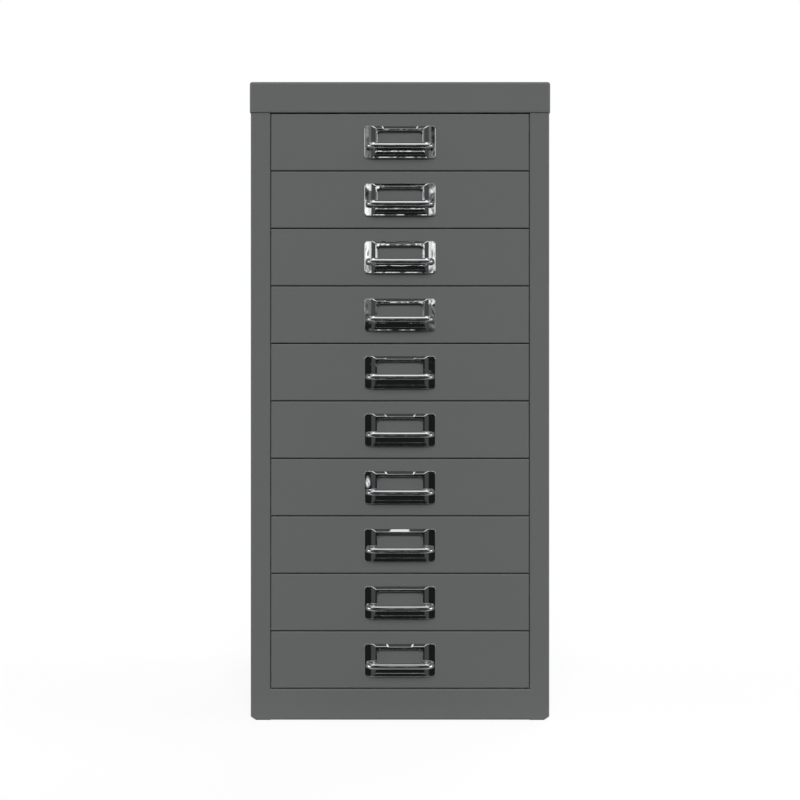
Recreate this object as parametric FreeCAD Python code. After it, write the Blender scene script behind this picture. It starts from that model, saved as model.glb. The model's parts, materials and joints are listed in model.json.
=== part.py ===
import FreeCAD, Part
import math
import os

# A folded steel cabinet with ten drawers, in millimetres.
# +Z is up, the drawers open towards -Y, and the origin is the middle of the base, on the floor.

os.makedirs("parts", exist_ok=True)
V = FreeCAD.Vector

# Case
HEIGHT = 590.0
CAP_WIDTH = 278.0
CAP_DEPTH = 380.0
CAP_SKIRT = 28.9
SHEET = 0.9
BEND = 0.7
STILE_WIDTH = 18.4
REAR_FLANGE = 16.0
TOP_FLANGE = 14.0
RAIL_HEIGHT = 28.6
RAIL_LIP = 8.0
PAN_LIP = 14.0
PAN_FLANGE = 14.0
BACK_CLEARANCE = 0.1
BEVEL_WIDTH = 5.0
BEVEL_HEIGHT = 3.3
CAP_EDGE = 0.8

# Drawers
DRAWERS = 10
FRONT_GAP = 0.75
CAP_GAP = 0.9
SIDE_GAP = 0.45
FRONT_DEPTH = 14.0
FRONT_EDGE = 1.0
FRONT_BACK_LIP = 6.0
DRAWER_SHEET = 0.8
TRAY_DROP = 3.0
TRAY_HEADROOM = 4.5
TRAY_BEHIND = 22.2
FLANGE_WIDTH = 6.4
FLANGE_CLEARANCE = 1.5

# Runners
RUNNING = 0.3
CHANNEL_MOUTH = 6.1
CHANNEL_LIP_ROOM = 2.8
PAD_HEIGHT = 2.5
PAD_LENGTH = 18.0
PAD_INSET = 0.6
GLIDE_LENGTH = 22.0
GLIDE_END = 1.5
RUNNER_BEHIND = 3.0
RUNNER_LAP = 14.0
STOP_CLEARANCE = 0.5

# Pull
PLATE_WIDTH = 65.7
PLATE_HEIGHT = 30.4
PLATE_CORNER = 2.8
WING = 1.3
RAISED_WIDTH = 53.3
RAISED_FLAT = 45.0
RAISED = 3.0
PRESSED = 1.0
LOWER_BEVEL = 5.0
UPPER_SLOPE = 2.4
UPPER_EDGE = 1.45
WINDOW_WIDTH = 41.7
WINDOW_TOP_BORDER = 5.0
WINDOW_CHAMFER = 2.3
BAR_RADIUS = 2.75
BAR_BELOW_TOP = 19.6
BAR_REACH = 11.0
BAR_STRAIGHT = 46.0
BAR_CORNER = 6.0
BAR_STEPS = 3
WEB = 2.0
TAB_WIDTH = 3.8
TAB_THICK = 1.0
TAB_PEENED = 1.2
TAB_CLEARANCE = 0.1

# Sizes that follow from those
CAP_BOTTOM = HEIGHT - CAP_SKIRT
BODY_TOP = HEIGHT - SHEET
SIDE = CAP_WIDTH / 2 - SHEET
REAR = CAP_DEPTH / 2 - SHEET
FRONT = -REAR
OUTER_BEND = SHEET + BEND
OPENING = SIDE - STILE_WIDTH
FRONT_HALF = OPENING - SIDE_GAP
FRONT_BACK = FRONT + FRONT_DEPTH
PITCH = (CAP_BOTTOM - CAP_GAP - RAIL_HEIGHT) / DRAWERS
FRONT_HEIGHT = PITCH - FRONT_GAP
FLANGE_TIP = OPENING - FLANGE_CLEARANCE
FLANGE_TOP = FRONT_HEIGHT - TRAY_HEADROOM
FLANGE_UNDER = FLANGE_TOP - DRAWER_SHEET
TRAY_HALF = FLANGE_TIP - FLANGE_WIDTH
TRAY_REAR = REAR - TRAY_BEHIND
SHELF_TOP = FLANGE_UNDER - RUNNING - PAD_HEIGHT
LIP_UNDER = FLANGE_TOP + CHANNEL_LIP_ROOM
CHANNEL_EDGE = OPENING - CHANNEL_MOUTH
RUNNER_FRONT = FRONT_BACK + RUNNING
RUNNER_REAR = TRAY_REAR + RUNNER_BEHIND
GLIDE_FRONT = TRAY_REAR - GLIDE_LENGTH
TRAVEL = GLIDE_FRONT - (RUNNER_FRONT + PAD_LENGTH) - STOP_CLEARANCE
BAR_HEIGHT = PLATE_HEIGHT - BAR_BELOW_TOP
BAR_HALF = BAR_STRAIGHT / 2 + BAR_CORNER

# A view is how an outline is turned before it is swept, and the direction it is swept in.
FROM_ABOVE = (FreeCAD.Rotation(), V(0, 0, 1))
FROM_FRONT = (FreeCAD.Rotation(V(1, 0, 0), 90), V(0, 1, 0))
FROM_SIDE = (FreeCAD.Rotation(V(1, 1, 1), 120), V(1, 0, 0))


def rounded(points, radii):
    """Edges along an open path, with each corner between its ends rounded by its own radius."""
    edges = []
    here = points[0]
    for before, corner, after, radius in zip(points, points[1:], points[2:], radii):
        back = (before - corner).normalize()
        onward = (after - corner).normalize()
        half = back.getAngle(onward) / 2
        reach = radius / math.tan(half)
        start = corner + back * reach
        end = corner + onward * reach
        edges.append(Part.LineSegment(here, start).toShape())
        if radius > 0:
            middle = corner + (back + onward).normalize() * (radius / math.sin(half) - radius)
            edges.append(Part.Arc(start, middle, end).toShape())
        here = end
    edges.append(Part.LineSegment(here, points[-1]).toShape())
    return edges


def swept(edges, view, start, end):
    """A solid from a closed run of edges, turned into its view and swept from start to end."""
    turn, along = view
    face = Part.Face(Part.Wire(edges))
    face.Placement = FreeCAD.Placement(along * start, turn)
    return face.extrude(along * (end - start))


def prism(outline, view, start, end, radii=None):
    """A solid from a closed outline. Radii are for the points after the first, and none makes them sharp."""
    points = [V(a, b, 0) for a, b in outline]
    points.append(points[0])
    return swept(rounded(points, radii or [0] * (len(points) - 2)), view, start, end)


def folded(path, view, start, end, thickness, bend=0):
    """Folded sheet with one face on a path and its thickness on the left. No bend gives sharp folds."""
    points = [V(a, b, 0) for a, b in path]
    legs = [(b - a).normalize() for a, b in zip(points, points[1:])]
    left = [V(-leg.y, leg.x, 0) for leg in legs]
    other = [points[0] + left[0] * thickness]
    near_radii = []
    far_radii = []
    for corner, leg, onward, m, n in zip(points[1:], legs, legs[1:], left, left[1:]):
        other.append(corner + (m + n) * (thickness / (1 + m.dot(n))))
        turns_left = leg.cross(onward).z > 0
        near_radii.append(bend + thickness if turns_left else bend)
        far_radii.append(bend if turns_left else bend + thickness)
    if bend == 0:
        near_radii = far_radii = [0] * len(near_radii)
    other.append(points[-1] + left[-1] * thickness)
    edges = rounded(points, near_radii)
    edges.append(Part.LineSegment(points[-1], other[-1]).toShape())
    edges += rounded(other[::-1], far_radii[::-1])
    edges.append(Part.LineSegment(other[0], points[0]).toShape())
    return swept(edges, view, start, end)


def block(x, y, z):
    """A box between two values on each axis."""
    return Part.makeBox(x[1] - x[0], y[1] - y[0], z[1] - z[0], V(x[0], y[0], z[0]))


def joined(*solids):
    """The solids as one, without seams between faces in one plane."""
    return solids[0].fuse(list(solids[1:])).removeSplitter()


def mirrored(shape):
    """The same piece for the left-hand side."""
    return shape.mirror(V(0, 0, 0), V(1, 0, 0))


def save(name, *solids):
    """One file for one piece, or for a group of like pieces."""
    shape = solids[0] if len(solids) == 1 else Part.makeCompound(list(solids))
    shape.exportStep("parts/" + name + ".step")


def drawer_floor(number):
    """The height of the lower edge of a drawer front. Number 1 is the highest drawer."""
    return RAIL_HEIGHT + FRONT_GAP + (DRAWERS - number) * PITCH


def body_envelope():
    """The outside of the body as one block: bevelled base, rounded upright corners, and an eased top."""
    outline = [
        (SIDE - BEVEL_WIDTH, 0),
        (SIDE, BEVEL_HEIGHT),
        (SIDE, BODY_TOP),
        (-SIDE, BODY_TOP),
        (-SIDE, BEVEL_HEIGHT),
        (-SIDE + BEVEL_WIDTH, 0),
    ]
    body = prism(outline, FROM_FRONT, FRONT, REAR)
    upright = [edge for edge in body.Edges if edge.BoundBox.ZLength > HEIGHT / 2]
    body = body.makeFillet(OUTER_BEND, upright)
    around_top = [edge for edge in body.Edges if edge.BoundBox.ZMin > BODY_TOP - SHEET]
    return body.makeChamfer(OUTER_BEND * (2 - math.sqrt(2)), around_top)


def top_cap(envelope):
    """A pressed lid over the body, open below, with its lower edge turned softly in."""
    half_width = CAP_WIDTH / 2
    half_depth = CAP_DEPTH / 2
    lid = block((-half_width, half_width), (-half_depth, half_depth), (CAP_BOTTOM, HEIGHT))
    outside = [edge for edge in lid.Edges if edge.BoundBox.ZMax > CAP_BOTTOM + CAP_EDGE]
    lid = lid.makeFillet(OUTER_BEND + SHEET, outside)
    rim = [edge for edge in lid.Edges if edge.BoundBox.ZMax < CAP_BOTTOM + CAP_EDGE]
    lid = lid.makeChamfer(CAP_EDGE, rim)
    return lid.cut(envelope)


def mitre_wedge():
    """What the rail's bend fills at the opening's lower corner, up to the mitre with the stile's bend."""
    outline = [
        (OPENING, RAIL_HEIGHT),
        (OPENING, RAIL_HEIGHT - OUTER_BEND),
        (OPENING + OUTER_BEND, RAIL_HEIGHT - OUTER_BEND),
    ]
    return prism(outline, FROM_FRONT, FRONT, FRONT + OUTER_BEND)


def side_panel(envelope):
    """The right-hand side: return, stile, wall and rear flange in one sheet, with a flange under the cap.

    At the opening's lower corner the return's bend is mitred to meet the rail's."""
    plan = [
        (OPENING, FRONT_BACK),
        (OPENING, FRONT),
        (SIDE, FRONT),
        (SIDE, REAR),
        (SIDE - REAR_FLANGE, REAR),
    ]
    beside_opening = folded(plan, FROM_ABOVE, RAIL_HEIGHT - OUTER_BEND, BODY_TOP, SHEET, BEND)
    beside_opening = beside_opening.cut(mitre_wedge())
    beside_rail = folded(plan[1:], FROM_ABOVE, 0, RAIL_HEIGHT - OUTER_BEND, SHEET, BEND)
    top = [(SIDE, BODY_TOP - TOP_FLANGE), (SIDE, BODY_TOP), (SIDE - TOP_FLANGE, BODY_TOP)]
    flange = folded(top, FROM_FRONT, FRONT + REAR_FLANGE, REAR - REAR_FLANGE, SHEET, BEND)
    return joined(beside_opening, beside_rail, flange).common(envelope)


def base_pan(envelope):
    """The floor with bevelled sides lapped inside the walls, the front rail, and a flange at the rear."""
    inside = SIDE - SHEET
    lap = (BEVEL_WIDTH - SHEET) * BEVEL_HEIGHT / BEVEL_WIDTH
    corner = SIDE - BEVEL_WIDTH
    rear = REAR - 2 * SHEET
    across = [
        (-inside, PAN_LIP),
        (-inside, lap),
        (-corner, 0),
        (corner, 0),
        (inside, lap),
        (inside, PAN_LIP),
    ]
    floor = folded(across, FROM_FRONT, FRONT + OUTER_BEND, rear - OUTER_BEND, SHEET)
    up_front = [
        (FRONT_BACK, RAIL_HEIGHT - RAIL_LIP),
        (FRONT_BACK, RAIL_HEIGHT),
        (FRONT, RAIL_HEIGHT),
        (FRONT, 0),
        (FRONT_BACK, 0),
    ]
    rail = folded(up_front, FROM_SIDE, -OPENING, OPENING, SHEET, BEND)
    mitre = folded(up_front, FROM_SIDE, OPENING, OPENING + OUTER_BEND, SHEET, BEND)
    mitre = mitre.common(mitre_wedge())
    up_rear = [(rear - PAN_FLANGE, 0), (rear, 0), (rear, PAN_LIP)]
    flange = folded(up_rear, FROM_SIDE, -corner, corner, SHEET, BEND)
    return joined(floor, rail, flange, mitre, mirrored(mitre)).common(envelope)


def back_panel(envelope):
    """A flat sheet inside the rear flanges."""
    half = SIDE - OUTER_BEND - BACK_CLEARANCE
    sheet = block((-half, half), (REAR - 2 * SHEET, REAR - SHEET), (0, BODY_TOP - SHEET))
    return sheet.common(envelope)


def top_rail():
    """The channel behind the cap's skirt that joins the stiles above the highest drawer."""
    section = [
        (FRONT_BACK, BODY_TOP),
        (FRONT, BODY_TOP),
        (FRONT, CAP_BOTTOM + SHEET),
        (FRONT_BACK, CAP_BOTTOM + SHEET),
    ]
    return folded(section, FROM_SIDE, -OPENING, OPENING, SHEET, BEND)


def runner_panel():
    """The right-hand runner panel, with one folded channel for each drawer's flange."""
    lap = SIDE - 2 * SHEET
    web = OPENING + SHEET
    plan = [
        (lap, RUNNER_REAR + RUNNER_LAP),
        (lap, RUNNER_REAR),
        (web, RUNNER_REAR),
        (web, FRONT + OUTER_BEND),
    ]
    panel = folded(plan, FROM_ABOVE, PAN_LIP + RUNNING, BODY_TOP - OUTER_BEND, SHEET, BEND)
    channels = []
    for number in range(1, DRAWERS + 1):
        low = drawer_floor(number) + SHELF_TOP - SHEET
        high = drawer_floor(number) + LIP_UNDER + SHEET
        section = [
            (CHANNEL_EDGE, low),
            (web, low),
            (web, high),
            (CHANNEL_EDGE, high),
            (CHANNEL_EDGE, high - SHEET),
            (OPENING, high - SHEET),
            (OPENING, low + SHEET),
            (CHANNEL_EDGE, low + SHEET),
        ]
        channels.append(prism(section, FROM_FRONT, RUNNER_FRONT, RUNNER_REAR - SHEET))
    return joined(panel, *channels)


def runner_pads():
    """The right-hand pads, one on the shelf at the mouth of each channel. They also stop the drawers."""
    x = (CHANNEL_EDGE + PAD_INSET, OPENING - BEND)
    y = (RUNNER_FRONT, RUNNER_FRONT + PAD_LENGTH)
    pads = []
    for number in range(1, DRAWERS + 1):
        shelf = drawer_floor(number) + SHELF_TOP
        pads.append(block(x, y, (shelf, shelf + PAD_HEIGHT)))
    return pads


def drawer_front():
    """A closed pan with soft front edges, open behind the tray's end wall, and slotted for the pull."""
    shell = block((-FRONT_HALF, FRONT_HALF), (FRONT, FRONT_BACK), (0, FRONT_HEIGHT))
    face = [edge for edge in shell.Edges if edge.BoundBox.YMax < FRONT + FRONT_EDGE]
    shell = shell.makeFillet(FRONT_EDGE, face)
    t = DRAWER_SHEET
    hollow = block((t - FRONT_HALF, FRONT_HALF - t), (FRONT + t, FRONT_BACK - t), (t, FRONT_HEIGHT - t))
    half = TRAY_HALF - FRONT_BACK_LIP
    low = TRAY_DROP + FRONT_BACK_LIP
    high = FLANGE_TOP - FRONT_BACK_LIP
    behind = block((-half, half), (FRONT_BACK - 2 * t, FRONT_BACK), (low, high))
    shell = shell.cut(hollow.fuse(behind))
    for side in (-1, 1):
        shell = shell.cut(tab_passage(side, TAB_CLEARANCE, 2 * t))
    return shell


def drawer_tray():
    """Folded sheet with a flange along the top of each side, and an upright wall at both ends."""
    section = [
        (FLANGE_TIP, FLANGE_UNDER),
        (TRAY_HALF, FLANGE_UNDER),
        (TRAY_HALF, TRAY_DROP),
        (-TRAY_HALF, TRAY_DROP),
        (-TRAY_HALF, FLANGE_UNDER),
        (-FLANGE_TIP, FLANGE_UNDER),
    ]
    trough = folded(section[::-1], FROM_FRONT, FRONT_BACK, TRAY_REAR, DRAWER_SHEET)
    walls = []
    for y in (FRONT_BACK, TRAY_REAR - DRAWER_SHEET):
        walls.append(block((-TRAY_HALF, TRAY_HALF), (y, y + DRAWER_SHEET), (TRAY_DROP, FLANGE_TOP)))
    return joined(trough, *walls)


def drawer_glides():
    """Nylon shoes over the rear ends of the tray's flanges, which run inside the channels."""
    x = (CHANNEL_EDGE + RUNNING, OPENING - RUNNING)
    z = (SHELF_TOP + RUNNING, LIP_UNDER - RUNNING)
    shoe = block(x, (GLIDE_FRONT, TRAY_REAR + GLIDE_END), z)
    slot = block((0, FLANGE_TIP), (0, TRAY_REAR), (FLANGE_UNDER, FLANGE_TOP))
    shoe = shoe.cut(slot)
    return [shoe, mirrored(shoe)]


def pull_point(x, forward, z):
    """A point on the pull: across, forward of the drawer's face, and up from the plate's lower edge."""
    return V(x, FRONT - forward, z + (FRONT_HEIGHT - PLATE_HEIGHT) / 2)


def pull_block(x, forward, z):
    """A box on the pull, between two values across, forward and up."""
    low = pull_point(x[0], forward[1], z[0])
    high = pull_point(x[1], forward[0], z[1])
    return block((low.x, high.x), (low.y, high.y), (low.z, high.z))


def raised_frame(inset):
    """The raised middle of the pull's plate: sloped at both sides and below, more steeply at the top.

    An inset of the pressed thickness gives the hollow behind it, open at the top for a label card."""
    flat = RAISED_FLAT / 2 - inset / 2
    foot = RAISED_WIDTH / 2 - inset
    front = RAISED - inset
    wing = WING - inset
    top_edge = UPPER_EDGE - inset
    plan = [(foot, -wing), (foot, 0), (-foot, 0), (-foot, -wing), (-flat, -front), (flat, -front)]
    side = [
        (0, inset),
        (-wing, inset),
        (-front, LOWER_BEVEL + inset / 2),
        (-front, PLATE_HEIGHT - UPPER_SLOPE),
        (-top_edge, PLATE_HEIGHT),
        (0, PLATE_HEIGHT),
    ]
    across = prism(plan, FROM_ABOVE, 0, PLATE_HEIGHT)
    along = prism(side, FROM_SIDE, -PLATE_WIDTH / 2, PLATE_WIDTH / 2)
    shape = across.common(along)
    shape.translate(pull_point(0, 0, 0))
    return shape


def bar_line():
    """The middle of the bar from one wing to the other, as (across, forward, angle that it faces)."""
    foot = WING / 2
    line = [(-BAR_HALF, foot, math.pi)]
    for side, first in ((-1, math.pi), (1, math.pi / 2)):
        for step in range(BAR_STEPS + 1):
            angle = first - step * math.pi / 2 / BAR_STEPS
            x = side * BAR_STRAIGHT / 2 + BAR_CORNER * math.cos(angle)
            line.append((x, BAR_REACH - BAR_CORNER + BAR_CORNER * math.sin(angle), angle))
    line.append((BAR_HALF, foot, 0))
    return line


def bar_section(x, forward, angle):
    """A half-round facing the way that angle points, with a flat back."""
    outward = V(math.cos(angle), -math.sin(angle), 0) * BAR_RADIUS
    centre = pull_point(x, forward, BAR_HEIGHT)
    up = V(0, 0, BAR_RADIUS)
    round_front = Part.Arc(centre - up, centre + outward, centre + up).toShape()
    flat_back = Part.LineSegment(centre + up, centre - up).toShape()
    return Part.Wire([round_front, flat_back])


def pull_bar():
    """The bar that the fingers hook behind: straight in front, and turned back into the wings as two ears."""
    return Part.makeLoft([bar_section(*place) for place in bar_line()], True, True)


def pull_web():
    """The shelf between the bar and the plate, at the lower edge of the window. Its rim is inside the bar."""
    outline = []
    for x, forward, angle in bar_line():
        outline.append((x + WEB / 2 * math.cos(angle), -forward - WEB / 2 * math.sin(angle)))
    web = prism(outline, FROM_ABOVE, BAR_HEIGHT - WEB / 2, BAR_HEIGHT + WEB / 2)
    web.translate(pull_point(0, 0, 0))
    return web


def tab_passage(side, clearance, length):
    """The way of one fixing tab through the drawer's face, in the middle of a wing."""
    x = side * (PLATE_WIDTH + RAISED_WIDTH) / 4
    z = PLATE_HEIGHT / 2
    half_width = TAB_WIDTH / 2 + clearance
    half_thick = TAB_THICK / 2 + clearance
    return pull_block((x - half_thick, x + half_thick), (-length, WING / 2), (z - half_width, z + half_width))


def drawer_pull():
    """Plate with flat wings, raised frame and window, the bar on its web, and a tab behind each wing."""
    outline = [
        (0, 0),
        (PLATE_WIDTH / 2, 0),
        (PLATE_WIDTH / 2, PLATE_HEIGHT),
        (-PLATE_WIDTH / 2, PLATE_HEIGHT),
        (-PLATE_WIDTH / 2, 0),
    ]
    wings = prism(outline, FROM_FRONT, -WING, 0, [PLATE_CORNER] * 4)
    wings.translate(pull_point(0, 0, 0))
    pull = wings.fuse([raised_frame(0), pull_web(), pull_bar()])
    pull = pull.cut(raised_frame(PRESSED))
    half = WINDOW_WIDTH / 2
    top = PLATE_HEIGHT - WINDOW_TOP_BORDER
    window = [
        (-half, BAR_HEIGHT + WEB / 2),
        (half, BAR_HEIGHT + WEB / 2),
        (half, top - WINDOW_CHAMFER),
        (half - WINDOW_CHAMFER, top),
        (WINDOW_CHAMFER - half, top),
        (-half, top - WINDOW_CHAMFER),
    ]
    opening = prism(window, FROM_FRONT, -BAR_REACH, 0)
    opening.translate(pull_point(0, 0, 0))
    pull = pull.cut(opening)
    tabs = [tab_passage(side, 0, DRAWER_SHEET + TAB_PEENED) for side in (-1, 1)]
    return joined(pull, *tabs)


# Case
envelope = body_envelope()
right_side = side_panel(envelope)
right_runner = runner_panel()
right_pads = runner_pads()
save("top_cap", top_cap(envelope))
save("side_panel_right", right_side)
save("side_panel_left", mirrored(right_side))
save("back_panel", back_panel(envelope))
save("base_pan", base_pan(envelope))
save("top_rail", top_rail())
save("runner_panel_right", right_runner)
save("runner_panel_left", mirrored(right_runner))
save("runner_pads_right", *right_pads)
save("runner_pads_left", *[mirrored(pad) for pad in right_pads])

# Drawers
pieces = {
    "tray": [drawer_tray()],
    "front": [drawer_front()],
    "pull": [drawer_pull()],
    "glides": drawer_glides(),
}
for number in range(1, DRAWERS + 1):
    lift = V(0, 0, drawer_floor(number))
    for name, solids in pieces.items():
        save("drawer_%02d_%s" % (number, name), *[solid.translated(lift) for solid in solids])

print("pitch %.2f, drawer front %.2f high, travel %.2f" % (PITCH, FRONT_HEIGHT, TRAVEL))
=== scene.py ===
import bpy
import json
import math
import random
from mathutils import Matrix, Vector


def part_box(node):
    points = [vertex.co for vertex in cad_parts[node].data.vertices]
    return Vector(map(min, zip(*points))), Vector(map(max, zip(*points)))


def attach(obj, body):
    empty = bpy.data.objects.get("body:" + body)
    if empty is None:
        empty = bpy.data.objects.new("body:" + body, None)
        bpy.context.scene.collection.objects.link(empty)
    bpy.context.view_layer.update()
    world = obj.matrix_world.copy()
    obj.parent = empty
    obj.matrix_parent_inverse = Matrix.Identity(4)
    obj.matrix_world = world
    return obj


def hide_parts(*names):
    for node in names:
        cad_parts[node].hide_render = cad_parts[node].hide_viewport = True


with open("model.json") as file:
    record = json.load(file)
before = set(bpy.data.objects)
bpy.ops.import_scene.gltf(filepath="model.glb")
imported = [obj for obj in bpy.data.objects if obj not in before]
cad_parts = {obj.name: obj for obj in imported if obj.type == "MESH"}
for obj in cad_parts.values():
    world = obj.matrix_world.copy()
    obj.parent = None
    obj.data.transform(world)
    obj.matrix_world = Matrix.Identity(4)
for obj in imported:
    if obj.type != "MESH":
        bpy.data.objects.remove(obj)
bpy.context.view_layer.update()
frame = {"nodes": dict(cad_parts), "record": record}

# The pulls and the grain of the finishes are in millimetres, and the studio is in metres.
MM = 0.001
DRAWERS = 10


# Shader maths

class Wire:
    """One value running through a material, on which sums can be written."""

    def __init__(self, material, socket):
        self.material = material
        self.socket = socket

    def maths(self, operation, first, second=0.0):
        settings = {"operation": operation}
        return self.material.add("ShaderNodeMath", settings, {0: first, 1: second})

    def __add__(self, other):
        return self.maths("ADD", self, other)

    def __radd__(self, other):
        return self.maths("ADD", other, self)

    def __sub__(self, other):
        return self.maths("SUBTRACT", self, other)

    def __rsub__(self, other):
        return self.maths("SUBTRACT", other, self)

    def __mul__(self, other):
        return self.maths("MULTIPLY", self, other)

    def __rmul__(self, other):
        return self.maths("MULTIPLY", other, self)

    def __truediv__(self, other):
        return self.maths("DIVIDE", self, other)

    def __rtruediv__(self, other):
        return self.maths("DIVIDE", other, self)

    def __abs__(self):
        return self.maths("ABSOLUTE", self)

    def larger(self, other):
        return self.maths("MAXIMUM", self, other)

    def wave(self, length):
        """A smooth wave between 0 and 1, which comes round again each time the value grows by the length."""
        return 0.5 + 0.5 * self.maths("SINE", self * (2 * math.pi / length))

    def step_from(self, low, high):
        """0 at low, 1 at high, and a soft rise between them. High may be the smaller one."""
        settings = {"interpolation_type": "SMOOTHSTEP"}
        values = {"Value": self, "From Min": low, "From Max": high}
        return self.material.add("ShaderNodeMapRange", settings, values)

    def between(self, low, high, edge):
        """1 from low to high, with soft edges of that width outside them."""
        return self.step_from(low - edge, low) * self.step_from(high + edge, high)


class Finish:
    """A material or a world under construction, with one method that adds any node."""

    def __init__(self, owner):
        owner.use_nodes = True
        self.owner = owner
        self.tree = owner.node_tree
        self.tree.nodes.clear()

    def add(self, kind, settings=None, sockets=None, output=0):
        """A node with its settings and its sockets' values or links, given back as one of its outputs."""
        node = self.tree.nodes.new(kind)
        for name, value in (settings or {}).items():
            setattr(node, name, value)
        for name, value in (sockets or {}).items():
            if isinstance(value, Wire):
                self.tree.links.new(value.socket, node.inputs[name])
            else:
                node.inputs[name].default_value = value
        return Wire(self, node.outputs[output]) if node.outputs else None

    def place(self):
        """Where on the piece a point is, in metres. It goes with the piece when a drawer slides."""
        return self.add("ShaderNodeTexCoord", output="Object")

    def part(self, vector, axis):
        """How far a vector goes along X, Y or Z."""
        return self.add("ShaderNodeSeparateXYZ", None, {"Vector": vector}, output=axis)

    def ray(self, kind):
        """1 for the rays that the kind names, and 0 for all others."""
        return self.add("ShaderNodeLightPath", output=kind)

    def noise(self, grain_mm, detail=2.0, stretch=(1, 1, 1)):
        """Cloudy variation from 0 to 1, with grains of that size."""
        where = self.add("ShaderNodeMapping", None, {"Vector": self.place(), "Scale": stretch})
        values = {"Vector": where, "Scale": 1 / (grain_mm * MM), "Detail": detail}
        return self.add("ShaderNodeTexNoise", None, values)

    def blend(self, share, first, second):
        """From one colour to another as share goes from 0 to 1."""
        settings = {"data_type": "RGBA"}
        return self.add("ShaderNodeMix", settings, {"Factor": share, 6: first, 7: second}, output=2)

    def bump(self, height, depth_mm, strength):
        """A surface that rises and falls with height, from 0 to that depth."""
        values = {"Strength": strength, "Distance": depth_mm * MM, "Height": height}
        return self.add("ShaderNodeBump", None, values)

    def mix(self, share, first, second):
        """From one shader to another as share goes from 0 to 1."""
        return self.add("ShaderNodeMixShader", None, {"Fac": share, 1: first, 2: second})

    def finish(self, values):
        """The whole material, from the values of the Principled shader."""
        surface = self.add("ShaderNodeBsdfPrincipled", None, values)
        self.add("ShaderNodeOutputMaterial", None, {"Surface": surface})
        return self.owner


def colour(red, green, blue):
    return (red, green, blue, 1.0)


def neutral(level):
    return colour(level, level, level)


# Finishes

PAINT = (0.119, 0.125, 0.124)
# How much lighter and darker the paint gets from place to place, and how dark the painted shade along the
# floor makes it.
PAINT_DRIFT = 0.05
PAINTED_FLOOR_SHADE = 0.35
# Painted shade along the floor: full below the lower of these two heights and none above the higher, in
# millimetres over the floor.
FLOOR_SHADE_TOP = 1.3
FLOOR_SHADE_BOTTOM = 0.4


def paint_tone(share):
    return colour(*[part * share for part in PAINT])


def powder_coat(name, roughness):
    """Baked powder paint: an even dark grey with a fine orange peel that scatters the light.

    Its last millimetre above the floor is darkened by painted shade, standing in for the shadow where it
    meets the floor."""
    paint = Finish(bpy.data.materials.new(name))
    drift = paint.noise(grain_mm=90, detail=1.0)
    speckle = paint.noise(grain_mm=0.5, detail=1.0)
    patches = paint.noise(grain_mm=30)
    peel = paint.noise(grain_mm=1.6)
    shade = 0.35 + drift * 0.3 + speckle * 0.35
    even = paint.blend(shade, paint_tone(1 - PAINT_DRIFT), paint_tone(1 + PAINT_DRIFT))
    # Painted shade: the paint gets darker towards the floor, in place of a contact shadow.
    painted_floor_shade = paint.part(paint.place(), "Z").step_from(FLOOR_SHADE_TOP * MM, FLOOR_SHADE_BOTTOM * MM)
    return paint.finish({
        "Base Color": paint.blend(painted_floor_shade, even, paint_tone(PAINTED_FLOOR_SHADE)),
        "Roughness": roughness - 0.03 + patches * 0.06 + speckle * 0.04,
        "Specular IOR Level": 0.45,
        "Normal": paint.bump(peel, depth_mm=0.02, strength=0.5),
    })


def chromium():
    """Bright plate over pressed steel, with a breath of haze and a few rubbed patches."""
    plate = Finish(bpy.data.materials.new("bright_chromium"))
    rubbed = plate.noise(grain_mm=7, detail=3.0).step_from(0.52, 0.75)
    streaks = plate.noise(grain_mm=1.2, stretch=(0.15, 1, 1))
    ripple = plate.noise(grain_mm=5, detail=1.0)
    return plate.finish({
        "Base Color": plate.blend(rubbed, colour(0.77, 0.78, 0.79), colour(0.70, 0.71, 0.73)),
        "Metallic": 1.0,
        "Roughness": 0.02 + rubbed * 0.04 + streaks * 0.015,
        "Normal": plate.bump(ripple, depth_mm=0.01, strength=0.35),
    })


def natural_nylon():
    """Milky moulded plastic, glossier in some places than in others."""
    plastic = Finish(bpy.data.materials.new("natural_nylon"))
    cloud = plastic.noise(grain_mm=3)
    grain = plastic.noise(grain_mm=0.6)
    return plastic.finish({
        "Base Color": plastic.blend(cloud, colour(0.70, 0.68, 0.61), colour(0.80, 0.78, 0.72)),
        "Roughness": 0.38 + cloud * 0.14,
        "Normal": plastic.bump(grain, depth_mm=0.02, strength=0.4),
    })


# The finish of each kind of piece, by its slot in the record.
FINISHES = {
    "case_paint": powder_coat("case_powder_coat", 0.50),
    "front_paint": powder_coat("drawer_front_powder_coat", 0.50),
    "tray_paint": powder_coat("tray_powder_coat", 0.55),
    "runner_steel": powder_coat("runner_powder_coat", 0.58),
    "chrome": chromium(),
    "nylon": natural_nylon(),
}


# The pull's sizes. Across is from its middle, up from its lower edge, and forward from the drawer's front.

# The plate's frame is raised and flat out to FLAT_HALF, and slopes down to the wings at FOOT_HALF and to
# UPPER_EDGE along its top.
PLATE_HALF = 32.85
PLATE_HEIGHT = 30.4
PLATE_CORNER = 2.8
PLATE_SHEET = 1.0
WING = 1.3
FOOT_HALF = 26.65
FLAT_HALF = 22.5
RAISED = 3.0
UPPER_SLOPE = 3.1
UPPER_EDGE = 1.0
# How far the folds are eased: from the flat to the side slopes, from the flat to the upper border, and where
# those two slopes meet.
FOLD = 0.5
UPPER_FOLD = 0.15
MITRE = 0.3

# Below the bar: where the bow starts and its radius, the crease with its bead, and the slope down to the lip.
LOWER_START = 7.1
LOWER_BOW = 25.0
CREASE = 3.2
BEAD = 0.09
BEAD_WIDTH = 0.14
LIP_SLOPE = 0.3
LIP = 1.5

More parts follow.
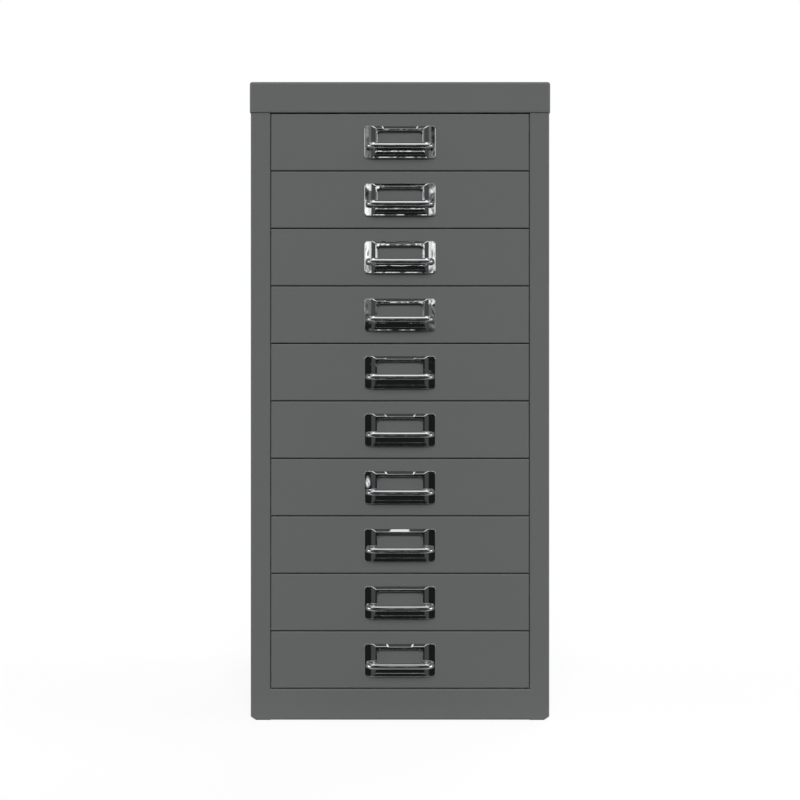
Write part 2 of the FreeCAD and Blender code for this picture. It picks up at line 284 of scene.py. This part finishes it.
# The window. Its upper corners are cut off along a curve of this power, where 1 is straight and 2 is round.
WINDOW_HALF = 20.85
WINDOW_BOTTOM = 11.8
WINDOW_TOP = 25.4
WINDOW_CORNER = 2.3
CUT_POWER = 1.3
# Points beyond the corner move with the cut, up to CUT_END times its size, and less over the last CUT_FADE.
CUT_END = 1.9
CUT_FADE = 0.6

# The rims: the width of their round, the share of their height that it takes, and the grid lines on it.
EDGE = 0.55
ROUND_SHARE = 0.6
RIM = [0.0, 0.03, 0.1, 0.22, 0.38, EDGE]

# The half width of the plate's middle, where the grid is widest.
CALM_HALF = 10.0
# Room that the grid leaves beside folds and rims before its next line.
RIM_ROOM = 0.15
TOP_ROOM = 0.2
LIP_ROOM = 0.15
CREASE_ROOM = 0.6
WINDOW_ROOM = 1.2
# Grid lines at the upper fold, counted in UPPER_FOLD.
FOLD_LINES = (-1.8, -1.2, -0.6, 0.0, 0.6, 1.2, 1.8)

# The bar, its two round corners between the straight part and the ears, and its section.
BAR_HALF_HEIGHT = 2.75
BAR_HEIGHT = 10.8
BAR_REACH = 10.8
BAR_STRAIGHT = 46.0
BAR_CORNER = 6.0
BAR_CORNER_STEPS = 14
# How far forward the first points of each ear are, from inside its wing outwards.
BAR_ROOTS = (0.4, 1.2, 3.2)
# The bar's round front as (angle it faces, radius up to there), from its lower edge to its upper edge.
BAR_ROUNDS = [(-45, 3.30), (14, 2.09), (27, 8.50), (90, 1.376)]
# Degrees between the points of that front.
BAR_ROUND_STEP = 6
# The points of the bar's back corners as (how far in, how far from its lower or upper edge).
BAR_BACK = [(0.105, 0.105), (0.14, 0.35)]
# The thickness of the shelf behind the bar.
WEB = 2.0

# A tab as rings of (depth behind the drawer's front, half width, half height), out to its spread end.
TAB_RINGS = [(-0.6, 0.5, 1.9), (0.85, 0.5, 1.9), (1.1, 0.9, 2.2), (1.9, 0.8, 2.1), (2.0, 0.5, 1.8)]

# How the pulls differ. Each has its own waves, each of which tilts the metal by a slope of up to UNEVEN.
WAVES = 6
WAVE_LENGTHS = (7, 24)
UNEVEN = 0.0045
# The steps in the upper border: height, softness, how far they lean in for each millimetre down, and place.
# They lie further in on each lower drawer.
STEP = 0.26
STEP_WIDTH = 0.32
STEP_SLANT = 0.5
STEP_PLACE = 17.3
STEP_SHIFT = 0.5
# Pulls whose upper edge swells out in the middle instead, as (height, width), by drawer.
SWELLS = {8: (0.42, 10.5), 9: (0.15, 9.0)}
# Degrees by which a pull leans back at the top, by drawer. With a minus it leans forward.
LEANS = {8: -1.5, 10: -0.4}
# Slope by which the lip turns out, by drawer. With a minus it turns in.
KICKS = {1: -0.047, 2: -0.024, 3: -0.012, 4: 0.002}
# One soft dent as (across, up, slope), by drawer, and how wide and high such a dent is.
DENTS = {7: (-29.8, 20.0, 0.085)}
DENT_WIDTH = 3.0
DENT_HEIGHT = 14.0


# Meshes

def add_object(name, data):
    made = bpy.data.objects.new(name, data)
    bpy.context.scene.collection.objects.link(made)
    return made


def piece(name, points, faces, material, body):
    """A smooth mesh from points in millimetres, riding on its body."""
    mesh = bpy.data.meshes.new(name)
    mesh.from_pydata([Vector(p) * MM for p in points], [], faces)
    mesh.validate()
    mesh.shade_smooth()
    mesh.materials.append(material)
    made = add_object(name, mesh)
    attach(made, body)
    return made


def soft_min(a, b, reach):
    """The smaller of two values, eased over the reach where they cross."""
    h = max(reach - abs(a - b), 0) / reach
    return min(a, b) - h * h * reach / 4


def soft_max(a, b, reach):
    return -soft_min(-a, -b, reach)


def norm(u, v, power):
    """The distance of a point from a corner's centre, if the corner is a curve of that power."""
    return (abs(u) ** power + abs(v) ** power) ** (1 / power)


def lines(*stops):
    """Grid lines between stops. Each stop after the first is (place, steps to it from the last one)."""
    made = [stops[0]]
    for place, steps in stops[1:]:
        start = made[-1]
        made += [start + (place - start) * (i + 1) / steps for i in range(steps)]
    return made


# The pull's plate

def plate_grid():
    """Grid lines across and up one pull, closer together at folds and rims."""
    outer = [PLATE_HALF - d for d in RIM[::-1]]
    across = lines(0.0, (CALM_HALF, 7), (WINDOW_HALF, 34))
    across += [WINDOW_HALF + d for d in RIM[1:]]
    across += [FLAT_HALF - FOLD / 2, FLAT_HALF, FLAT_HALF + FOLD / 2]
    across += lines(FLAT_HALF + FOLD, (FOOT_HALF - FOLD, 4))
    across += [FOOT_HALF - FOLD / 2, FOOT_HALF, FOOT_HALF + FOLD / 2]
    across += lines(FOOT_HALF + FOLD, (PLATE_HALF - PLATE_CORNER, 3), (outer[0] - 2 * RIM_ROOM, 3))
    across += outer
    up = RIM + lines(EDGE + RIM_ROOM, (LIP - LIP_ROOM, 3), (LIP + LIP_ROOM, 4), (PLATE_CORNER, 3))
    up += lines(CREASE - 2 * BEAD_WIDTH, (CREASE + 2 * BEAD_WIDTH, 12))
    up += lines(CREASE + CREASE_ROOM, (LOWER_START, 5), (WINDOW_BOTTOM - WINDOW_ROOM, 4))
    up += [WINDOW_BOTTOM - d for d in RIM[::-1]]
    up += lines(WINDOW_BOTTOM + WINDOW_ROOM, (WINDOW_TOP - WINDOW_CORNER, 10), (WINDOW_TOP, 5))
    up += [WINDOW_TOP + d for d in RIM[1:]]
    fold = PLATE_HEIGHT - UPPER_SLOPE
    up += lines(WINDOW_TOP + EDGE + RIM_ROOM, (fold - 2 * UPPER_FOLD, 3))
    up += [fold + UPPER_FOLD * step for step in FOLD_LINES]
    up += lines(fold + FOLD, (PLATE_HEIGHT - EDGE - TOP_ROOM, 6))
    up += [PLATE_HEIGHT - d for d in RIM[::-1]]
    return [-x for x in across[:0:-1]] + across, up


def eased_place(x, z):
    """Moves a grid point so that the plate's corners are round and the window's upper corners are cut off."""
    side = math.copysign(1, x)
    inner = PLATE_HALF - PLATE_CORNER
    u = abs(x) - inner
    for centre, way in ((PLATE_CORNER, -1), (PLATE_HEIGHT - PLATE_CORNER, 1)):
        v = way * (z - centre)
        if u > 0 and v > 0:
            scale = max(u, v) / norm(u, v, 2)
            return side * (inner + u * scale), centre + way * v * scale
    inner = WINDOW_HALF - WINDOW_CORNER
    centre = WINDOW_TOP - WINDOW_CORNER
    u = abs(x) - inner
    v = z - centre
    if u > 0 and v > 0:
        away = max(u, v) / WINDOW_CORNER
        share = min(1, max(0, (CUT_END - away) / CUT_FADE))
        scale = 1 + share * (max(u, v) / norm(u, v, CUT_POWER) - 1)
        return side * (inner + u * scale), centre + v * scale
    return x, z


def inside_plate(x, z):
    """How far inside the plate's outline a point is."""
    u = abs(x) - (PLATE_HALF - PLATE_CORNER)
    v = abs(z - PLATE_HEIGHT / 2) - (PLATE_HEIGHT / 2 - PLATE_CORNER)
    if u > 0 and v > 0:
        return PLATE_CORNER - norm(u, v, 2)
    return PLATE_CORNER - max(u, v)


def outside_window(x, z):
    """How far outside the window's outline a point is."""
    u = abs(x) - (WINDOW_HALF - WINDOW_CORNER)
    v = z - (WINDOW_TOP - WINDOW_CORNER)
    if u > 0 and v > 0:
        return norm(u, v, CUT_POWER) - WINDOW_CORNER
    return max(u - WINDOW_CORNER, v - WINDOW_CORNER, WINDOW_BOTTOM - z)


def lower_drop(z, kick):
    """How far the plate falls back below the bar: a faint bow, a crease with a bead, a slope and a lip.

    Kick is the slope by which the lip turns out."""
    below = LOWER_START - z
    if below <= 0:
        return 0.0
    bow = min(below, LOWER_START - CREASE)
    drop = bow * bow / (2 * LOWER_BOW)
    drop += LIP_SLOPE * max(0.0, CREASE - max(z, LIP)) - kick * max(0.0, LIP - z)
    return drop - BEAD * math.exp(-((z - CREASE) / BEAD_WIDTH) ** 2)


def plate_face(x, z, swell=0.0, step=0.0, kick=0.0):
    """Height of the pressed plate's front over the drawer, before its rims are rounded.

    Swell is how much further its upper edge stands out there, and step how much further its whole upper
    border does. Kick is the slope by which its lip turns out. The side folds are wider than the upper one."""
    across = WING + (FOOT_HALF - abs(x)) * (RAISED - WING) / (FOOT_HALF - FLAT_HALF)
    edge = UPPER_EDGE + swell
    upper = edge + step + (PLATE_HEIGHT - z) * (RAISED - edge) / UPPER_SLOPE
    slopes = soft_min(soft_max(across, WING, FOLD), upper, MITRE)
    sideways = min(1.0, max(0.0, 0.5 + upper - across))
    reach = UPPER_FOLD + (FOLD - UPPER_FOLD) * sideways
    return soft_min(slopes, RAISED - lower_drop(z, kick), reach)


def plate_back(x, z):
    return max(0.0, plate_face(x, z) - PLATE_SHEET)


def rim_height(distance):
    """The share of the plate's thickness that is left at a distance from its rim.

    Past the round it is all left. Part of the drop is the grid's first step, which is nearly upright."""
    if distance >= EDGE:
        return 1.0
    quarter = math.sqrt(max(0.0, 1 - (1 - distance / EDGE) ** 2))
    return quarter * ROUND_SHARE + (1 - ROUND_SHARE) * min(1, distance / RIM[1])


class Press:
    """What sets one drawer's pressed plate apart from the others."""

    def __init__(self, number):
        chance = random.Random(number)
        self.waves = []
        for _ in range(WAVES):
            length = chance.uniform(*WAVE_LENGTHS)
            turn = chance.uniform(0, math.pi)
            phase = chance.uniform(0, 2 * math.pi)
            self.waves.append((length, math.cos(turn), math.sin(turn), phase))
        self.lean = math.tan(math.radians(LEANS.get(number, 0.0)))
        self.dent = DENTS.get(number)
        self.kick = KICKS.get(number, 0.0)
        self.swollen = SWELLS.get(number)
        self.step_at = STEP_PLACE - STEP_SHIFT * number

    def swell(self, x):
        """How much further the upper edge stands out there."""
        if not self.swollen:
            return 0.0
        height, width = self.swollen
        return height * math.exp(-(x / width) ** 2)

    def step(self, x, z):
        """How much further the upper border stands out there. It rises over a slanted line on both sides."""
        if self.swollen:
            return 0.0
        past = abs(x) - self.step_at + STEP_SLANT * (PLATE_HEIGHT - z)
        return STEP / (1 + math.exp(-past / STEP_WIDTH))

    def offset(self, x, z):
        """How far the face stands forward of the pattern there, from its waves, its lean and its dent."""
        total = 0.0
        for length, along, up, phase in self.waves:
            total += math.sin((x * along + z * up) * 2 * math.pi / length + phase) * length
        total *= UNEVEN / (2 * math.pi)
        total -= self.lean * (z - PLATE_HEIGHT / 2)
        if self.dent:
            across, up, slope = self.dent
            near = math.exp(-((x - across) / DENT_WIDTH) ** 2 - ((z - up) / DENT_HEIGHT) ** 2)
            total -= slope * (z - up) * near
        return total

    def face(self, x, z):
        """Height of this plate's front over the drawer, before its rims are rounded."""
        return plate_face(x, z, self.swell(x), self.step(x, z), self.kick) + self.offset(x, z)


def pressed_plate(press):
    """Points and faces of the plate, with its window, wings and raised frame."""
    across, up = plate_grid()
    columns, rows = len(across), len(up)
    points = []
    for back in (False, True):
        for z in up:
            for x in across:
                px, pz = eased_place(x, z)
                low = plate_back(px, pz)
                share = rim_height(min(inside_plate(px, pz), max(0.0, outside_window(px, pz))))
                forward = low if back else low + (press.face(px, pz) - low) * share
                points.append((px, -forward, pz))
    faces = []
    tiny = 1e-6
    for j in range(rows - 1):
        for i in range(columns - 1):
            x = (across[i] + across[i + 1]) / 2
            z = (up[j] + up[j + 1]) / 2
            if abs(x) < WINDOW_HALF - tiny and WINDOW_BOTTOM < z < WINDOW_TOP:
                continue
            a = j * columns + i
            quad = (a, a + 1, a + columns + 1, a + columns)
            faces.append(quad)
            faces.append(tuple(k + columns * rows for k in quad[::-1]))
    return points, faces


# The pull's bar, shelf and tabs

def bar_line():
    """The bar's middle line as (across, forward, angle it faces), from one wing to the other."""
    half = BAR_STRAIGHT / 2
    line = [(-half - BAR_CORNER, forward, math.pi) for forward in BAR_ROOTS]
    for side, first in ((-1, math.pi), (1, math.pi / 2)):
        for step in range(BAR_CORNER_STEPS + 1):
            angle = first - step * math.pi / 2 / BAR_CORNER_STEPS
            x = side * half + BAR_CORNER * math.cos(angle)
            line.append((x, BAR_REACH - BAR_CORNER + BAR_CORNER * math.sin(angle), angle))
    return line + [(half + BAR_CORNER, forward, 0.0) for forward in BAR_ROOTS[::-1]]


def bar_outline():
    """The bar's section as (outward, up): round in front, with a flat back and eased corners."""
    out, rise = 0.0, -BAR_HALF_HEIGHT
    outline = [(out, rise)]
    start = -90
    for end, radius in BAR_ROUNDS:
        steps = round((end - start) / BAR_ROUND_STEP)
        for i in range(steps):
            first, last = (math.radians(start + (end - start) * k / steps) for k in (i, i + 1))
            out += radius * (math.cos(last) - math.cos(first))
            rise += radius * (math.sin(last) - math.sin(first))
            outline.append((out, rise))
        start = end
    for way in (1, -1):
        corner = [(-back, way * (BAR_HALF_HEIGHT - inward)) for back, inward in BAR_BACK]
        outline += corner[::way]
    return outline


def tube(rings, count):
    """The faces around a row of rings of that many points each, and across its two ends."""
    faces = []
    for s in range(rings - 1):
        for k in range(count):
            n = (k + 1) % count
            faces.append((s * count + k, (s + 1) * count + k, (s + 1) * count + n, s * count + n))
    last = rings * count - 1
    return faces + [tuple(range(count)), tuple(range(last, last - count, -1))]


def swept_bar():
    """The round bar and its two ears, which run back into the wings."""
    outline = bar_outline()
    line = bar_line()
    points = []
    for x, forward, angle in line:
        for out, rise in outline:
            points.append((x + out * math.cos(angle), -forward - out * math.sin(angle), BAR_HEIGHT + rise))
    return points, tube(len(line), len(outline))


def web_slab():
    """The shelf behind the bar, with its rim inside the bar."""
    line = bar_line()
    half = WEB / 2
    points = []
    for rise in (half, -half):
        for x, forward, angle in line:
            points.append((x + half * math.cos(angle), -forward - half * math.sin(angle), BAR_HEIGHT + rise))
    return points, tube(2, len(line))


def fixing_tab(side):
    """One tab behind a wing, through the drawer's face and spread over behind it."""
    middle = side * (PLATE_HALF + FOOT_HALF) / 2
    centre = PLATE_HEIGHT / 2
    points = []
    for depth, wide, tall in TAB_RINGS:
        for a, b in ((-1, -1), (1, -1), (1, 1), (-1, 1)):
            points.append((middle + a * wide, depth, centre + b * tall))
    return points, tube(len(TAB_RINGS), 4)


def label_pull(number):
    """A whole pull where its CAD node is, on its drawer."""
    node = "drawer_%02d_pull" % number
    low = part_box(node)[0] / MM
    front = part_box("drawer_%02d_front" % number)[0].y / MM
    points = []
    faces = []
    parts = [pressed_plate(Press(number)), swept_bar(), web_slab(), fixing_tab(-1), fixing_tab(1)]
    for part_points, part_faces in parts:
        start = len(points)
        points += [(x, front + y, low.z + z) for x, y, z in part_points]
        faces += [tuple(start + k for k in face) for face in part_faces]
    name = "drawer_%02d_label_pull" % number
    made = piece(name, points, faces, FINISHES["chrome"], "drawer_%02d" % number)
    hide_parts(node)


for number in range(1, DRAWERS + 1):
    label_pull(number)


# Finishes of the CAD model's pieces

for part in frame["record"]["subparts"]:
    node = frame["nodes"][part["node"]]
    finish = FINISHES[part["material_slot"]]
    if not node.material_slots:
        node.data.materials.append(finish)
    for held in node.material_slots:
        held.material = finish


# The studio's sizes, with lengths in metres

FLOOR_REACH = 30.0
# Where the pulls stand, and how far in front of them the floor is dark boards.
PULLS_Y = -0.19
BOARDS_Y = -0.22
# How far out from the middle the shadow that the camera sees begins to fade, and where none is left.
SHADOW_FADES = (0.3, 1.0)
# How much of the floor that the camera sees shines by itself near the cabinet. The rest takes its shadow.
FLOOR_SHINE = 0.85
# Light on the boards as (start, full, strength), by how far to the side they lie for each metre in front.
# Elsewhere they are as dark as the room.
BOARD_LIGHTS = [(0.45, 0.60, 0.06), (1.3, 1.6, 0.25)]

# The even light on the cabinet from all round.
EVEN_LIGHT = 0.15
# The room that polished metal sees in front of the cabinet, and how bright its darkest parts are. A place in
# it is (low, high, soft edge), by how far a direction of length 1 goes up, or to either side.
ROOM_DARK = 0.012
EVERYWHERE = (-1, 1, 1)
# Where the room turns into the white behind the cabinet, by how far a direction goes back.
ROOM_ENDS = (0.2, 0.6)
# The wall with its slanted stripes, the window in it with its slanted bars, and the dark post in the middle.
WALL_HEIGHT = (0.045, 0.30, 0.015)
WALL_SIDES = (-1, 0.40, 0.10)
STRIPE_WIDTH = 0.035
WINDOW_LIGHT_HEIGHT = (0.080, 0.116, 0.010)
WINDOW_BAR_WIDTH = 0.032
POST_EDGE = (0.010, 0.016)
# The lights at both ends of the room: where they begin to either side, turn brighter upwards, and stop.
ENDS_EDGE = (0.78, 0.82)
ENDS_BRIGHTER = (0.05, 0.08)
ENDS_TOP = (0.35, 0.25)
# Plain lights as (height, sides, strength).
ROOM_LIGHTS = {
    "gleam": ((0.059, 0.069, 0.005), (-1, 0.014, 0.006), 1.0),
    "haze": ((0.20, 0.42, 0.05), (-1, 0.03, 0.03), 0.2),
    "diagonals": ((0.45, 0.75, 0.04), (0.45, 0.72, 0.04), 0.5),
    "strip": ((0.60, 0.79, 0.02), (-1, 0.42, 0.13), 0.95),
    "corners": ((0.74, 0.97, 0.02), (0.12, 0.34, 0.03), 1.0),
    "far_sides": (EVERYWHERE, (0.55, 1, 0.10), 0.06),
    "ceiling": ((0.82, 1, 0.02), EVERYWHERE, 0.055),
    "roof_light": ((0.995, 1, 0.007), EVERYWHERE, 0.35),
}

# The lamps as (direction towards it, width as an angle, strength).
LAMPS = {
    "key_light": ((0.0, -1.0, 0.75), 0.45, 2.81),
    "fill_from_left": ((-1.0, 0.0, 0.5), 0.8, 0.9),
    "fill_from_right": ((1.0, 0.0, 0.5), 0.8, 1.2),
    "fill_from_behind": ((0.3, 1.0, 0.5), 0.8, 1.5),
}

CAMERA_DISTANCE = 1.5
CAMERA_RISE = 0.00075
SENSOR_MM = 36.0
LENS_MM = 73.02


# Studio

def studio_floor():
    """A white paper floor that runs into the white background, with the cabinet's faint shadow.

    Light that bounces off it is duller. In front of the cabinet, polished metal sees dark boards."""
    paper = Finish(bpy.data.materials.new("white_paper"))
    where = paper.add("ShaderNodeNewGeometry", output="Position")
    across = abs(paper.part(where, "X"))
    depth = paper.part(where, "Y")
    pale = paper.add("ShaderNodeBsdfDiffuse", None, {"Color": neutral(0.90)})
    dull = paper.add("ShaderNodeBsdfDiffuse", None, {"Color": neutral(0.20)})
    white = paper.add("ShaderNodeEmission", None, {"Color": neutral(1), "Strength": 1.0})
    black = paper.add("ShaderNodeEmission", None, {"Color": neutral(0), "Strength": 0.0})
    sheet = paper.mix(paper.ray("Is Diffuse Ray"), pale, dull)
    far = across.larger(abs(depth)).step_from(*SHADOW_FADES)
    shine = FLOOR_SHINE + (1 - FLOOR_SHINE) * far
    seen = paper.mix(paper.ray("Is Camera Ray") * shine, sheet, white)
    aside = across / (PULLS_Y - depth)
    lit = ROOM_DARK
    for start, full, strength in BOARD_LIGHTS:
        lit += aside.step_from(start, full) * strength
    ahead = paper.ray("Is Glossy Ray") * depth.step_from(PULLS_Y, BOARDS_Y)
    surface = paper.mix(ahead, seen, paper.mix(lit, black, white))
    paper.add("ShaderNodeOutputMaterial", None, {"Surface": surface})
    mesh = bpy.data.meshes.new("studio_floor")
    corners = [(FLOOR_REACH * a, FLOOR_REACH * b, 0) for a, b in ((-1, -1), (1, -1), (1, 1), (-1, 1))]
    mesh.from_pydata(corners, [], [(0, 1, 2, 3)])
    mesh.materials.append(paper.owner)
    add_object("studio_floor", mesh)


def room_in_front(x, z):
    """How bright the room is in one direction, by how far that goes to the right and up."""
    side = abs(x)
    middle = side.between(*WALL_SIDES)
    off_post = side.step_from(*POST_EDGE)
    stripes = 0.03 + 0.24 * (x * 1.3 - z * 0.4).wave(STRIPE_WIDTH)
    bars = 0.12 + 1.3 * (x + z * 0.3).wave(WINDOW_BAR_WIDTH)
    wall = z.between(*WALL_HEIGHT) * middle * off_post * stripes
    window = z.between(*WINDOW_LIGHT_HEIGHT) * middle * (0.3 + 0.7 * off_post) * bars
    ends = side.step_from(*ENDS_EDGE) * z.step_from(*ENDS_TOP) * (0.25 + 2.0 * z.step_from(*ENDS_BRIGHTER))
    room = ROOM_DARK + wall + window + ends
    for height, sides, strength in ROOM_LIGHTS.values():
        room += z.between(*height) * side.between(*sides) * strength
    return room


def studio_world():
    """White all round for the camera, with even light. Polished metal sees a room in front of the cabinet."""
    world = bpy.data.worlds.new("studio")
    bpy.context.scene.world = world
    air = Finish(world)
    way = air.add("ShaderNodeTexCoord", output="Generated")
    behind = air.part(way, "Y").step_from(*ROOM_ENDS)
    reflected = behind + (1 - behind) * room_in_front(air.part(way, "X"), air.part(way, "Z"))
    camera = air.ray("Is Camera Ray")
    glossy = air.ray("Is Glossy Ray")
    level = camera + (1 - camera) * (glossy * reflected + (1 - glossy) * EVEN_LIGHT)
    light = air.add("ShaderNodeBackground", None, {"Color": neutral(1), "Strength": level})
    air.add("ShaderNodeOutputWorld", None, {"Surface": light})


def soft_light(name, source, spread, strength):
    """Broad even light from the direction of a point, which polished metal doesn't show."""
    data = bpy.data.lights.new(name, "SUN")
    data.angle = spread
    data.energy = strength
    made = add_object(name, data)
    made.rotation_euler = Vector(source).to_track_quat("Z", "Y").to_euler()
    made.visible_glossy = False


def camera_in_front():
    """Level with the middle of the case and square to it, as in the photograph."""
    data = bpy.data.cameras.new("camera")
    data.sensor_width = SENSOR_MM
    data.lens = LENS_MM
    made = add_object("camera", data)
    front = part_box("side_panel_left")[0].y
    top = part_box("top_cap")[1].z
    made.location = (0.0, front - CAMERA_DISTANCE, top / 2 + CAMERA_RISE)
    made.rotation_euler = (math.pi / 2, 0.0, 0.0)
    bpy.context.scene.camera = made


studio_floor()
studio_world()
for name, (source, spread, strength) in LAMPS.items():
    soft_light(name, source, spread, strength)
camera_in_front()

settings = bpy.context.scene.view_settings
settings.view_transform = "Standard"
